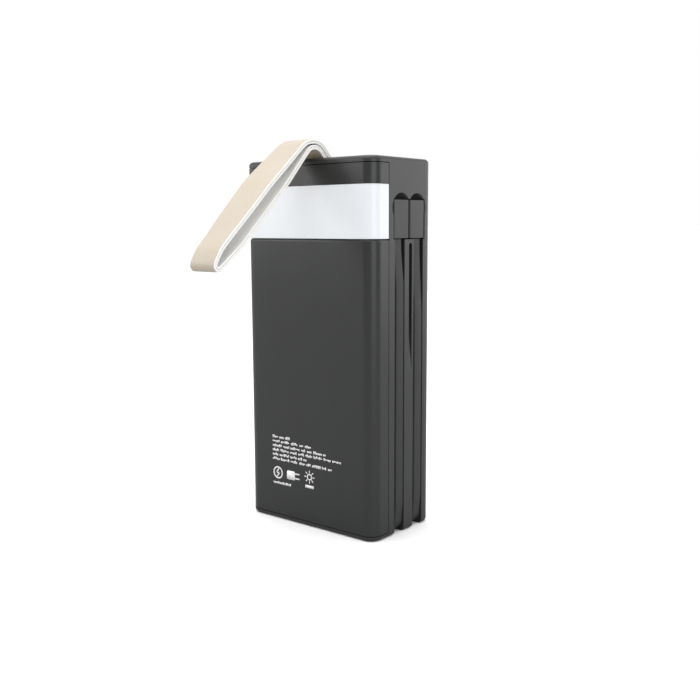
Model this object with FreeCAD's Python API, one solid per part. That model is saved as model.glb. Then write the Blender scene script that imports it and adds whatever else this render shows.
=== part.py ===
import FreeCAD, Part
import math
import os

# Power bank with a side lamp, two built-in flat cables and a carrying strap.
# Millimetres, +Z up. The origin is the centre of the base. The lamp face looks along -Y,
# the cables lie in the +X side, the ports are in the -X side, and the display and the
# power button are in the +Y face.

V = FreeCAD.Vector
X_AXIS = V(1, 0, 0)
Y_AXIS = V(0, 1, 0)
Z_AXIS = V(0, 0, 1)

# ---- case ----
CASE_W = 68.0
CASE_D = 39.5
CASE_H = 150.0
CORNER_R = 5.0
EDGE_R = 1.6
BACK_EDGE_R = 3.2
WALL = 2.0
FLOOR = 5.2
TOP_LIP = 2.4
BOTTOM_LIP = 1.9
COVER_DEPTH = 10.0
COVER_GAP = 0.3
LIP_LENGTH = 1.0
LIP_WALL = 1.0

# ---- lamp ----
LAMP_FROM_TOP = 10.6
LAMP_H = 20.6
DIFFUSER_WALL = 2.4
DIFFUSER_GAP = 0.1
LAMP_EDGE_R = 1.0
LEDGE_WALL = 1.6
LEDGE_OVERLAP = 2.4
LED_BOARD_T = 1.2
LED_BOARD_SIDE_GAP = 1.0
REFLECTOR_T = 1.6
REFLECTOR_SHEET = 0.4
LED_SIZE = (3.5, 0.7, 2.8)
LED_ROWS = 2
LED_COLUMNS = 8
LED_PITCH_X = 6.6
LED_PITCH_Z = 8.0

# ---- built-in cables and their plugs, in the +X side ----
CABLE_PITCH = 12.5
CHANNEL_W = 6.4
CHANNEL_D = 3.3
CHANNEL_WALL = 1.5
CABLE_W = 5.3
CABLE_T = 2.2
CABLE_BEND_R = 3.2
CABLE_SINK = 0.6
CABLE_EXIT_IN = 14.0
CABLE_EXIT_R = 3.4
PLUG_GAP = 0.35
CABLE_END_GAP = 0.5
PLUG_SPACING = 0.7
POCKET_FROM_SEAM = 2.75
PLUG_W = 9.7
PLUG_H = 14.8
PLUG_T = 7.2
PLUG_BACK_R = 4.5
PLUG_EDGE_R = 0.5
PLUG_TOP_FROM_TOP = 16.3
PLUG_FLOOR_GAP = 0.5
TIP_FROM_FACE = 4.4
TIP_LENGTH = 6.6
TIP_ROOT = 2.0
USB_C_TIP = (8.3, 2.5)
EIGHT_PIN_TIP = (6.7, 1.5)
TIP_CHAMBER_W = 9.2
TIP_CHAMBER_H = 7.4
TIP_CHAMBER_OUT = 2.8
TIP_CHAMBER_IN = 8.5
NOTCH_R = 5.9
NOTCH_H = 2.4
NOTCH_OUT = 3.6
RIB_SLOT_W = 2.0
RIB_SLOT_D = 2.8
RIB_SLOT_SHIFT = 0.9
RIB_SLOT_LOW_FROM_TOP = 84.0
RIB_SLOT_TOP_GAP = 1.4
GROMMET_NECK_GAP = 1.0
GROMMET_FLANGE = 0.8
GROMMET_FLANGE_T = 1.5
CABLE_BOARD_Z = 9.2
CABLE_BOARD_T = 1.2
CABLE_BOARD_X = 17.0
CABLE_BOARD_MARGIN = 4.5
CABLE_BOARD_INSET = 2.6

# ---- strap and its pin, in the top ----
STRAP_W = 12.7
LEATHER_T = 1.0
LINING_T = 0.9
STRAP_SLIT = 0.2
STRAP_SIDE_GAP = 1.0
PIN_R = 1.2
PIN_CLEARANCE = 0.08
PIN_Y = -9.6
PIN_BELOW_TOP = 3.3
PIN_SEAT = 1.5
STRAP_WELL_D = 7.4
STRAP_WELL_REACH = 6.8
STRAP_LEAN = 46.0
CREST_FLAT = 0.1
CREST_ABOVE_TOP = 7.1
CREST_R = 8.5
CREST_GAP = 0.3
LOOP_TOP_R = 12.5
LOOP_TOP_SLOPE = 36.9
LOOP_TOP_RUN = 27.3
LOOP_UNDER_R = 3.8
LOOP_UNDER_SLOPE = 47.0
LOOP_UNDER_RUN = 19.7
FOLD_R = 2.4
LINING_END = 5.0

# ---- battery ----
CELL_COUNT = 3
CELL_GAP = 0.6
CELL_FOAM_T = 0.8
CELL_BASE_Z = 12.2
CELL_EDGE_R = 2.0
FOAM_MARGIN = 3.0
TAB_SIZE = (5.0, 0.2)
TAB_PITCH = 24.0
PROTECTION_BOARD = (44.0, 1.2)
PROTECTION_GAP = 2.8

# ---- main board and what stands on it ----
BOARD_T = 1.6
BOARD_FROM_BACK = 7.15
BOARD_FROM_TOP = 6.5
BOARD_H = 45.0
BOARD_GAP = 0.3
PORT_SINK = 0.3
PORT_GAP = 0.15
USB_A_PORT = {"thick": 5.7, "wide": 13.1, "deep": 14.0, "wall": 0.35, "r": 0.5, "tongue": 1.9}
USB_C_PORT = {"thick": 3.2, "wide": 8.9, "deep": 7.6, "wall": 0.3, "r": 1.5, "tongue": 0.7}
MICRO_USB_PORT = {"thick": 2.9, "wide": 7.6, "deep": 5.8, "wall": 0.3, "r": 0.8, "tongue": 0.6}
EIGHT_PIN_PORT = {"thick": 3.1, "wide": 8.2, "deep": 7.4, "wall": 0.4, "r": 1.2, "tongue": 0.0}
PORT_SPACING = 3.0
PORT_TOP_GAP = 1.2
INDUCTOR = (12.6, 6.2, 12.6)
CAPACITOR_R = 3.2
CAPACITOR_L = 8.0
CHIP = (6.0, 1.1, 5.0)
SCREW_R = 0.95
SCREW_HEAD_R = 1.8
SCREW_HEAD_T = 1.2
SCREW_LENGTH = 4.6
BOSS_R = 2.4
BOARD_SCREW_INSET = 3.2

# ---- display and power button, in the +Y face ----
DISPLAY_FROM_TOP = 24.0
DISPLAY_MODULE = (27.0, 4.0, 12.4)
WINDOW_SIZE = (31.0, 16.0)
WINDOW_HOLE = (27.6, 12.8)
WINDOW_T = 1.1
WINDOW_R = 2.0
WINDOW_GAP = 0.1
BUTTON_FROM_TOP = 44.0
BUTTON_R = 5.0
BUTTON_CLEARANCE = 0.15
BUTTON_PROUD = 0.6
BUTTON_FLANGE_R = 6.2
BUTTON_FLANGE_T = 0.8
BUTTON_TRAVEL = 0.5
STEM_R = 1.5
SWITCH_SIZE = (6.0, 2.6, 6.0)
PLUNGER_R = 1.6
PLUNGER_T = 0.4
PLUNGER_GAP = 0.05

# ---- places worked out from the sizes above ----
FRONT_Y = -CASE_D / 2
BACK_Y = CASE_D / 2
SEAM_Y = FRONT_Y + COVER_DEPTH
SIDE_X = CASE_W / 2
COVER_Z0 = BOTTOM_LIP + COVER_GAP
COVER_Z1 = CASE_H - TOP_LIP - COVER_GAP
LAMP_Z1 = CASE_H - LAMP_FROM_TOP
LAMP_Z0 = LAMP_Z1 - LAMP_H
LEDGE_Y = FRONT_Y + DIFFUSER_WALL + DIFFUSER_GAP + LEDGE_WALL
LED_BOARD_Y = LEDGE_Y + REFLECTOR_T
CHANNEL_X = SIDE_X - CHANNEL_D
CHANNEL_BLOCK_X = CHANNEL_X - CHANNEL_WALL
PLUG_Z1 = CASE_H - PLUG_TOP_FROM_TOP
PLUG_Z0 = PLUG_Z1 - PLUG_H
POCKET_Z0 = PLUG_Z0 - PLUG_FLOOR_GAP
POCKET_Z1 = PLUG_Z1 + PLUG_GAP
POCKET_X = SIDE_X - PLUG_T - PLUG_GAP
POCKET_BLOCK_X = SIDE_X - TIP_CHAMBER_IN - CHANNEL_WALL
PLUG_PITCH = PLUG_W + PLUG_SPACING
POCKET_HALF_W = PLUG_PITCH / 2 + PLUG_W / 2 + PLUG_GAP
CABLE_MID_Y = SEAM_Y + POCKET_FROM_SEAM + POCKET_HALF_W
CABLE_X = SIDE_X - CABLE_SINK - CABLE_T / 2
CABLE_Z = CABLE_SINK + CABLE_T / 2
CABLE_EXIT_X = SIDE_X - CABLE_EXIT_IN
BOARD_Y1 = BACK_Y - BOARD_FROM_BACK
BOARD_Y0 = BOARD_Y1 - BOARD_T
BOARD_Z1 = CASE_H - BOARD_FROM_TOP
BOARD_Z0 = BOARD_Z1 - BOARD_H
BOARD_X0 = -SIDE_X + WALL + BOARD_GAP
BOARD_X1 = POCKET_BLOCK_X - BOARD_GAP
CELL_Z1 = BOARD_Z0 - BOARD_GAP - PROTECTION_GAP - PROTECTION_BOARD[1]
INNER_BACK_Y = BACK_Y - WALL
STRAP_T = 2 * (LEATHER_T + LINING_T) + STRAP_SLIT
PIN_Z = CASE_H - PIN_BELOW_TOP
CREST_Z = CASE_H + CREST_ABOVE_TOP
ROOT_CORNER_Y = PIN_Y - (CREST_Z - STRAP_T / 2 - PIN_Z) / math.tan(math.radians(STRAP_LEAN))
CREST_Y = (ROOT_CORNER_Y - (CREST_R - STRAP_T / 2) * math.tan(math.radians(STRAP_LEAN / 2))
           - CREST_GAP / 2 - CREST_FLAT)
WELL_HALF_W = STRAP_W / 2 + STRAP_SIDE_GAP
BUTTON_Z = CASE_H - BUTTON_FROM_TOP
DISPLAY_Z = CASE_H - DISPLAY_FROM_TOP
CABLES = (("usb_c", -1, USB_C_TIP), ("eight_pin", 1, EIGHT_PIN_TIP))


# ---- general shapes ----
def box(x0, x1, y0, y1, z0, z1):
    return Part.makeBox(x1 - x0, y1 - y0, z1 - z0, V(x0, y0, z0))


def rod(radius, start, end):
    line = end - start
    return Part.makeCylinder(radius, line.Length, start, line)


def in_xy(u, v):
    return V(u, v, 0)


def in_xz(u, v):
    return V(u, 0, v)


def in_yz(u, v):
    return V(0, u, v)


def turned_path(points, radii, shift, place):
    """Edges of straight runs joined by tangent arcs, moved to the path's left by shift."""
    legs = []
    for (u0, v0), (u1, v1) in zip(points, points[1:]):
        length = math.hypot(u1 - u0, v1 - v0)
        legs.append(((u1 - u0) / length, (v1 - v0) / length))
    edges = []
    du, dv = legs[0]
    here = (points[0][0] - dv * shift, points[0][1] + du * shift)
    for i, radius in enumerate(radii):
        (au, av), (bu, bv) = legs[i], legs[i + 1]
        cosine = au * bu + av * bv
        side = math.copysign(1.0, au * bv - av * bu)
        corner = (points[i + 1][0] - (av + bv) * shift / (1 + cosine),
                  points[i + 1][1] + (au + bu) * shift / (1 + cosine))
        bend = radius - side * shift
        half = math.acos(cosine) / 2
        cut = bend * math.tan(half)
        start = (corner[0] - au * cut, corner[1] - av * cut)
        end = (corner[0] + bu * cut, corner[1] + bv * cut)
        reach = bend / math.cos(half) - bend
        mu, mv = bu - au, bv - av
        size = math.hypot(mu, mv)
        middle = (corner[0] + mu / size * reach, corner[1] + mv / size * reach)
        edges.append(Part.LineSegment(place(*here), place(*start)).toShape())
        edges.append(Part.Arc(place(*start), place(*middle), place(*end)).toShape())
        here = end
    du, dv = legs[-1]
    last = (points[-1][0] - dv * shift, points[-1][1] + du * shift)
    edges.append(Part.LineSegment(place(*here), place(*last)).toShape())
    return edges


def ribbon(points, radii, left, right, place, push):
    """A band between two sideways shifts of one path, pushed straight out by a vector."""
    far = turned_path(points, radii, left, place)
    near = turned_path(points, radii, right, place)
    caps = []
    for a, b in ((far[0].Vertexes[0], near[0].Vertexes[0]), (far[-1].Vertexes[-1], near[-1].Vertexes[-1])):
        caps.append(Part.LineSegment(a.Point, b.Point).toShape())
    wire = Part.Wire(Part.__sortEdges__(far + near + caps))
    return Part.Face(wire).extrude(push)


def rounded_face(u0, u1, v0, v1, radius, place):
    """A rectangle with four rounded corners."""
    mid = (u0 + u1) / 2
    points = [(mid, v0), (u1, v0), (u1, v1), (u0, v1), (u0, v0), (mid, v0)]
    edges = turned_path(points, [radius] * 4, 0, place)
    return Part.Face(Part.Wire(edges))


def case_prism(inset, z0, z1):
    """The case's outline, moved in by inset, between two heights."""
    radius = max(CORNER_R - inset, 0.5)
    face = rounded_face(-SIDE_X + inset, SIDE_X - inset, FRONT_Y + inset, BACK_Y - inset, radius, in_xy)
    face.translate(V(0, 0, z0))
    return face.extrude(V(0, 0, z1 - z0))


def level_edges(shape, z):
    """The edges of a shape that lie wholly at one height."""
    return [e for e in shape.Edges if abs(e.BoundBox.ZMin - z) < 0.01 and abs(e.BoundBox.ZMax - z) < 0.01]


def case_blank():
    """The case's outside, with its edges rounded, most of all along the back."""
    solid = case_prism(0, 0, CASE_H)
    solid = solid.makeFillet(EDGE_R, level_edges(solid, 0) + level_edges(solid, CASE_H))
    side = rounded_face(-CASE_D, BACK_Y, 0, CASE_H, BACK_EDGE_R, in_yz)
    side.translate(V(-CASE_W, 0, 0))
    return solid.common(side.extrude(X_AXIS * 2 * CASE_W))


def cable_y(side):
    return CABLE_MID_Y + side * CABLE_PITCH / 2


def plug_y(side):
    return CABLE_MID_Y + side * PLUG_PITCH / 2


def screw(head, way):
    """A pan-head screw: head is the seat's centre, way is the unit vector along its shank."""
    shank = rod(SCREW_R, head, head + way * SCREW_LENGTH)
    return shank.fuse(rod(SCREW_HEAD_R, head - way * SCREW_HEAD_T, head))


def board_screw_places():
    low, high = BOARD_Z0 + BOARD_SCREW_INSET, BOARD_Z1 - BOARD_SCREW_INSET
    right = BOARD_X1 - BOARD_SCREW_INSET
    left = BOARD_X0 + BOARD_SCREW_INSET + USB_A_PORT["deep"]
    return [V(x, BOARD_Y0, z) for x in (left, right) for z in (low, high)]


def cable_board_box():
    half = CABLE_PITCH / 2 + CABLE_W / 2 + CABLE_BOARD_MARGIN
    x0 = CABLE_EXIT_X - CABLE_BOARD_X / 2
    return x0, x0 + CABLE_BOARD_X, CABLE_MID_Y - half, CABLE_MID_Y + half


def cable_board_screw_places():
    x0, _, y0, y1 = cable_board_box()
    x, z = x0 + CABLE_BOARD_INSET, CABLE_BOARD_Z + CABLE_BOARD_T
    return [V(x, y0 + CABLE_BOARD_INSET, z), V(x, y1 - CABLE_BOARD_INSET, z)]


# ---- rear shell ----
def strap_well_block(grow):
    """The walls of the strap well, hanging from the top plate, grown by a clearance."""
    half_x = WELL_HALF_W + CHANNEL_WALL + grow
    half_y = STRAP_WELL_REACH + CHANNEL_WALL + grow
    return box(-half_x, half_x, PIN_Y - half_y, PIN_Y + half_y, CASE_H - STRAP_WELL_D - CHANNEL_WALL - grow,
               CASE_H - TOP_LIP / 2)


def shell_walls():
    """The back, the sides and both end plates, with room for the front cover."""
    shell = case_blank()
    far = CASE_D
    shell = shell.cut(box(-CASE_W, CASE_W, -far, SEAM_Y, BOTTOM_LIP, CASE_H - TOP_LIP))
    cavity = case_prism(WALL, FLOOR, CASE_H - TOP_LIP)
    return shell.cut(cavity)


def shell_blocks():
    """Thick places inside the walls, for the channels, the plug pocket and the strap well."""
    reach = CABLE_PITCH / 2 + CHANNEL_W / 2 + CHANNEL_WALL
    channel = box(CHANNEL_BLOCK_X, SIDE_X - WALL / 2, CABLE_MID_Y - reach, CABLE_MID_Y + reach,
                  FLOOR / 2, POCKET_Z0)
    half = POCKET_HALF_W + CHANNEL_WALL
    pocket = box(POCKET_BLOCK_X, SIDE_X - WALL / 2, CABLE_MID_Y - half, CABLE_MID_Y + half,
                 POCKET_Z0 - CHANNEL_WALL, POCKET_Z1 + TIP_CHAMBER_H + CHANNEL_WALL)
    blocks = [channel, pocket, strap_well_block(0)]
    for place in board_screw_places():
        blocks.append(rod(BOSS_R, V(place.x, BOARD_Y1, place.z), V(place.x, BACK_Y - WALL / 2, place.z)))
    for place in cable_board_screw_places():
        blocks.append(rod(BOSS_R, V(place.x, place.y, FLOOR / 2), V(place.x, place.y, CABLE_BOARD_Z)))
    return blocks


def channel_cut(side):
    """One cable's groove: down the side, round the bottom edge and under the base."""
    y = cable_y(side)
    out = SIDE_X + CHANNEL_D
    points = [(out, POCKET_Z0 + CHANNEL_D), (CHANNEL_X, POCKET_Z0 + CHANNEL_D), (CHANNEL_X, CHANNEL_D),
              (CABLE_EXIT_X - CHANNEL_D, CHANNEL_D), (CABLE_EXIT_X - CHANNEL_D, -CHANNEL_D),
              (out, -CHANNEL_D)]
    bend = CABLE_BEND_R - CABLE_T / 2 - (CHANNEL_D - CABLE_SINK - CABLE_T)
    edges = turned_path(points, [0.4, bend, 0.4, 0.4], 0, in_xz)
    edges.append(Part.LineSegment(in_xz(*points[-1]), in_xz(*points[0])).toShape())
    face = Part.Face(Part.Wire(edges))
    face.translate(V(0, y - CHANNEL_W / 2, 0))
    return face.extrude(V(0, CHANNEL_W, 0))


def pocket_cuts():
    """The pocket for both plug heads, a chamber for each tip and a notch over each head."""
    cuts = [box(POCKET_X, SIDE_X + WALL, CABLE_MID_Y - POCKET_HALF_W, CABLE_MID_Y + POCKET_HALF_W,
                POCKET_Z0, POCKET_Z1)]
    for _, side, _ in CABLES:
        y = plug_y(side)
        half = TIP_CHAMBER_W / 2
        cuts.append(box(SIDE_X - TIP_CHAMBER_IN, SIDE_X - TIP_CHAMBER_OUT, y - half, y + half,
                        POCKET_Z1 - WALL, POCKET_Z1 + TIP_CHAMBER_H))
        middle = V(SIDE_X + NOTCH_OUT, y, POCKET_Z1 + NOTCH_H - NOTCH_R)
        cuts.append(Part.makeSphere(math.hypot(NOTCH_R, NOTCH_OUT), middle))
    return cuts


def rib_slot_cut():
    """A slot in the rib between the channels, deep at the top and running out lower down."""
    y = CABLE_MID_Y + RIB_SLOT_SHIFT
    half = RIB_SLOT_W / 2
    top = POCKET_Z0 - RIB_SLOT_TOP_GAP
    low = CASE_H - RIB_SLOT_LOW_FROM_TOP
    wedge = Part.makePolygon([in_xz(SIDE_X, low), in_xz(SIDE_X - RIB_SLOT_D, top - half),
                              in_xz(SIDE_X + WALL, top - half), in_xz(SIDE_X + WALL, low),
                              in_xz(SIDE_X, low)])
    slot = Part.Face(wedge)
    slot.translate(V(0, y - half, 0))
    end = rod(half, V(SIDE_X - RIB_SLOT_D, y, top - half), V(SIDE_X + WALL, y, top - half))
    return slot.extrude(V(0, RIB_SLOT_W, 0)).fuse(end)


def cable_exit_cut(side):
    """The hole in the floor where a cable goes in, the size of its grommet's neck."""
    y = cable_y(side)
    half_x = CABLE_T / 2 + GROMMET_NECK_GAP
    half_y = CABLE_W / 2 + GROMMET_NECK_GAP
    return box(CABLE_EXIT_X - half_x, CABLE_EXIT_X + half_x, y - half_y, y + half_y, 0, FLOOR + 1)


def strap_well_cut():
    y0, y1 = PIN_Y - STRAP_WELL_REACH, PIN_Y + STRAP_WELL_REACH
    well = box(-WELL_HALF_W, WELL_HALF_W, y0, y1, CASE_H - STRAP_WELL_D, CASE_H + WALL)
    seat = WELL_HALF_W + PIN_SEAT - COVER_GAP
    return well.fuse(rod(PIN_R, V(-seat, PIN_Y, PIN_Z), V(seat, PIN_Y, PIN_Z)))


def display_cut():
    w, h = WINDOW_SIZE
    hole_w, hole_h = WINDOW_HOLE
    seat = rounded_face(-w / 2, w / 2, DISPLAY_Z - h / 2, DISPLAY_Z + h / 2, WINDOW_R, in_xz)
    seat.translate(V(0, BACK_Y - WINDOW_T, 0))
    hole = box(-hole_w / 2, hole_w / 2, INNER_BACK_Y - WALL, BACK_Y, DISPLAY_Z - hole_h / 2,
               DISPLAY_Z + hole_h / 2)
    return seat.extrude(V(0, WALL, 0)).fuse(hole)


def port_places():
    """Each port with the height of its centre, downwards from the top."""
    places = []
    z = BOARD_Z1 - PORT_TOP_GAP
    for name, port in (("usb_a", USB_A_PORT), ("usb_c_in", USB_C_PORT), ("micro_usb", MICRO_USB_PORT),
                       ("eight_pin_in", EIGHT_PIN_PORT)):
        places.append((name, port, z - port["wide"] / 2))
        z -= port["wide"] + PORT_SPACING
    return places


def port_outline(port, z, grow, x):
    """A port's rounded outline in the side wall's plane, at x, grown all round."""
    y = BOARD_Y0 - port["thick"] / 2
    half_t = port["thick"] / 2 + grow
    half_w = port["wide"] / 2 + grow
    face = rounded_face(y - half_t, y + half_t, z - half_w, z + half_w, max(port["r"] + grow, 0.2), in_yz)
    face.translate(V(x, 0, 0))
    return face


def rear_shell():
    shell = shell_walls()
    inside = case_blank()
    for block in shell_blocks():
        shell = shell.fuse(block.common(inside))
    cuts = pocket_cuts()
    for _, side, _ in CABLES:
        cuts.append(channel_cut(side))
        cuts.append(cable_exit_cut(side))
    cuts += [rib_slot_cut(), strap_well_cut(), display_cut()]
    for _, port, z in port_places():
        cuts.append(port_outline(port, z, PORT_GAP, -SIDE_X - WALL).extrude(V(2 * WALL + PORT_GAP, 0, 0)))
    bore = BUTTON_R + BUTTON_CLEARANCE
    cuts.append(rod(bore, V(0, INNER_BACK_Y - WALL, BUTTON_Z), V(0, BACK_Y + WALL, BUTTON_Z)))
    for place in board_screw_places():
        cuts.append(rod(SCREW_R, place, place + Y_AXIS * SCREW_LENGTH))
    for place in cable_board_screw_places():
        cuts.append(rod(SCREW_R, place - Z_AXIS * SCREW_LENGTH, place))
    for cut in cuts:
        shell = shell.cut(cut)
    return shell.removeSplitter()


# ---- front cover and lamp ----
def front_cover():
    """The lamp-side cover, with the recess that the diffuser wraps round."""
    front = box(-CASE_W, CASE_W, -CASE_D, SEAM_Y - COVER_GAP, COVER_Z0, COVER_Z1)
    cover = case_prism(0, COVER_Z0, COVER_Z1).common(front)
    cover = cover.cut(case_prism(WALL, COVER_Z0 + WALL, COVER_Z1 - WALL))
    lip = box(-CASE_W, CASE_W, FRONT_Y + CORNER_R, SEAM_Y + LIP_LENGTH, FLOOR + COVER_GAP, COVER_Z1 - WALL)
    inner = WALL + COVER_GAP
    ring = case_prism(inner, COVER_Z0 + WALL, COVER_Z1 - WALL)
    ring = ring.cut(case_prism(inner + LIP_WALL, COVER_Z0, COVER_Z1)).common(lip)
    link = case_prism(WALL / 2, COVER_Z0 + WALL, COVER_Z1 - WALL)
    link = link.cut(case_prism(inner + LIP_WALL, COVER_Z0, COVER_Z1))
    link = link.common(box(-CASE_W, CASE_W, FRONT_Y + CORNER_R, SEAM_Y - COVER_GAP - LIP_LENGTH, 0, CASE_H))
    cover = cover.fuse(ring).fuse(link)
    floor = DIFFUSER_WALL + DIFFUSER_GAP
    ledge = case_prism(floor, LAMP_Z0 - LEDGE_WALL - DIFFUSER_GAP, LAMP_Z1 + LEDGE_WALL + DIFFUSER_GAP)
    ledge = ledge.cut(case_prism(floor + LEDGE_WALL, 0, CASE_H)).common(front)
    cover = cover.fuse(ledge)
    low = LAMP_Z0 - DIFFUSER_GAP
    recess = case_prism(-WALL, low, LAMP_Z1 + DIFFUSER_GAP).cut(case_prism(floor, 0, CASE_H))
    cover = cover.cut(recess)
    brow = [e for e in level_edges(cover, low)
            if e.BoundBox.YMin < FRONT_Y + 0.01 or abs(abs(e.CenterOfMass.x) - SIDE_X) < 0.01]
    cover = cover.makeFillet(LAMP_EDGE_R, brow)
    window = SIDE_X - floor - LEDGE_WALL - LEDGE_OVERLAP
    cover = cover.cut(box(-window, window, -CASE_D, LEDGE_Y + WALL, LAMP_Z0 + LEDGE_OVERLAP,
                          LAMP_Z1 - LEDGE_OVERLAP))
    return cover.cut(strap_well_block(COVER_GAP)).removeSplitter()


def lamp_diffuser():
    """A clear-white band that wraps from one seam round the front to the other."""
    band = case_prism(0, LAMP_Z0, LAMP_Z1).cut(case_prism(DIFFUSER_WALL, 0, CASE_H))
    return band.common(box(-CASE_W, CASE_W, -CASE_D, SEAM_Y - COVER_GAP, 0, CASE_H))


def led_places():
    middle = (LAMP_Z0 + LAMP_Z1) / 2
    places = []
    for row in range(LED_ROWS):
        for column in range(LED_COLUMNS):
            x = (column - (LED_COLUMNS - 1) / 2) * LED_PITCH_X
            places.append((x, middle + (row - (LED_ROWS - 1) / 2) * LED_PITCH_Z))
    return places


def lamp_half_width():
    return SIDE_X - DIFFUSER_WALL - DIFFUSER_GAP - LEDGE_WALL - LED_BOARD_SIDE_GAP


def lamp_reflector():
    """A white tray: a thin sheet with a hole for each LED, and a rim up to the ledge."""
    half = lamp_half_width()
    tray = box(-half, half, LEDGE_Y, LED_BOARD_Y, LAMP_Z0, LAMP_Z1)
    rim = LEDGE_OVERLAP
    inside = box(-half + rim, half - rim, LEDGE_Y, LED_BOARD_Y - REFLECTOR_SHEET, LAMP_Z0 + rim, LAMP_Z1 - rim)
    tray = tray.cut(inside)
    w, _, h = LED_SIZE
    for x, z in led_places():
        tray = tray.cut(box(x - w / 2 - DIFFUSER_GAP, x + w / 2 + DIFFUSER_GAP, LEDGE_Y, LED_BOARD_Y,
                            z - h / 2 - DIFFUSER_GAP, z + h / 2 + DIFFUSER_GAP))
    return tray


def led_board():
    half = lamp_half_width()
    return box(-half, half, LED_BOARD_Y, LED_BOARD_Y + LED_BOARD_T, LAMP_Z0, LAMP_Z1)


def lamp_leds():
    w, t, h = LED_SIZE
    return Part.makeCompound([box(x - w / 2, x + w / 2, LED_BOARD_Y - t, LED_BOARD_Y, z - h / 2, z + h / 2)
                              for x, z in led_places()])


# ---- built-in cables ----
def cable_points():
    """The middle of a cable: down the side, under the base and up through the floor."""
    top = PLUG_Z0 - CABLE_END_GAP
    return [(CABLE_X, top), (CABLE_X, CABLE_Z), (CABLE_EXIT_X, CABLE_Z), (CABLE_EXIT_X, CABLE_BOARD_Z)]


def flat_cable(side):
    y = cable_y(side)
    half = CABLE_T / 2
    band = ribbon(cable_points(), [CABLE_BEND_R, CABLE_EXIT_R], half, -half, in_xz, V(0, CABLE_W, 0))
    band.translate(V(0, y - CABLE_W / 2, 0))
    return band


def cable_length():
    points = cable_points()
    straight = sum(math.dist(a, b) for a, b in zip(points, points[1:]))
    return straight - (2 - math.pi / 2) * (CABLE_BEND_R + CABLE_EXIT_R)


def cable_grommet(side):
    """A flanged grommet that grips the cable where it comes through the floor."""
    y = cable_y(side)
    half_x = CABLE_T / 2 + GROMMET_NECK_GAP
    half_y = CABLE_W / 2 + GROMMET_NECK_GAP
    neck = box(CABLE_EXIT_X - half_x, CABLE_EXIT_X + half_x, y - half_y, y + half_y, CHANNEL_D + COVER_GAP, FLOOR)
    flange = box(CABLE_EXIT_X - half_x - GROMMET_FLANGE, CABLE_EXIT_X + half_x + GROMMET_FLANGE,
                 y - half_y - GROMMET_FLANGE, y + half_y + GROMMET_FLANGE, FLOOR, FLOOR + GROMMET_FLANGE_T)
    hole = box(CABLE_EXIT_X - CABLE_T / 2, CABLE_EXIT_X + CABLE_T / 2, y - CABLE_W / 2, y + CABLE_W / 2, 0,
               CASE_H)
    return neck.fuse(flange).cut(hole).cut(flat_cable(side)).removeSplitter()


def cable_board():
    x0, x1, y0, y1 = cable_board_box()
    board = box(x0, x1, y0, y1, CABLE_BOARD_Z, CABLE_BOARD_Z + CABLE_BOARD_T)
    for place in cable_board_screw_places():
        board = board.cut(rod(SCREW_R, place - Z_AXIS * SCREW_LENGTH, place))
    return board


def plug_head(side, tip):
    """A moulded plug head, flush with the side. Its lower back edge is round, so it can tip out."""
    y = plug_y(side)
    x0 = SIDE_X - PLUG_T
    head = box(x0, SIDE_X, y - PLUG_W / 2, y + PLUG_W / 2, PLUG_Z0, PLUG_Z1)
    back = [e for e in level_edges(head, PLUG_Z0) if e.BoundBox.XMax < x0 + 0.01]
    head = head.makeFillet(PLUG_BACK_R, back)
    upright = [e for e in head.Edges if e.BoundBox.ZLength > PLUG_H / 2 and e.BoundBox.XMin > SIDE_X - 0.01]
    head = head.makeFillet(PLUG_EDGE_R, upright)
    return head.cut(plug_tip(side, tip))


def plug_tip(side, tip):
    """The plug's metal tip, rooted in the head and pointing up into its chamber."""
    w, t = tip
    x, y = SIDE_X - TIP_FROM_FACE, plug_y(side)
    face = rounded_face(x - t / 2, x + t / 2, y - w / 2, y + w / 2, t / 2 - 0.05, in_xy)
    face.translate(V(0, 0, PLUG_Z1 - TIP_ROOT))
    return face.extrude(V(0, 0, TIP_ROOT + TIP_LENGTH))


# ---- strap ----
def loop_bend(height, radius, slope, run):
    """Where the loop leaves the crest at a height: its first corner and the end of its first run."""
    angle = math.radians(slope)
    y = CREST_Y - CREST_GAP / 2 - CREST_FLAT - radius * math.tan(angle / 2)
    return (y, height), (y - run * math.cos(angle), height - run * math.sin(angle))


def strap_loop_points():
    """The loop's outside in the Y-Z plane: from the crest down to the fold and back underneath."""
    top, under = CREST_Z, CREST_Z - STRAP_T
    y = CREST_Y - CREST_GAP / 2
    upper, over = loop_bend(top, LOOP_TOP_R, LOOP_TOP_SLOPE, LOOP_TOP_RUN)
    lower, below = loop_bend(under, LOOP_UNDER_R, LOOP_UNDER_SLOPE, LOOP_UNDER_RUN)
    return [(y, top), upper, over, (CREST_Y - 50.9, top - 41.2), (CREST_Y - 54.65, top - 47.5),
            (CREST_Y - 51.75, top - 50.2), (CREST_Y - 39.3, top - 40.9), below, lower, (y, under)]


def strap_loop_ply(outer, inner):
    radii = [LOOP_TOP_R, 60.0, 14.0, FOLD_R, FOLD_R, 40.0, 60.0, LOOP_UNDER_R]
    ply = ribbon(strap_loop_points(), radii, inner, outer, in_yz, X_AXIS * STRAP_W)
    ply.translate(V(-STRAP_W / 2, 0, 0))
    return ply


def root_slab(half, stop):
    """The strap's root, from the crest to stop short of the pin, half to each side of its middle."""
    lean = math.radians(STRAP_LEAN)
    top = CREST_Z - STRAP_T / 2
    crest = (CREST_Y + CREST_GAP / 2, top)
    end = (PIN_Y - stop * math.cos(lean), PIN_Z + stop * math.sin(lean))
    slab = ribbon([crest, (ROOT_CORNER_Y, top), end], [CREST_R - STRAP_T / 2], half, -half, in_yz,
                  X_AXIS * STRAP_W)
    slab.translate(V(-STRAP_W / 2, 0, 0))
    return slab


def strap_root_lining():
    return root_slab(LINING_T + STRAP_SLIT / 2, LINING_END)


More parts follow.
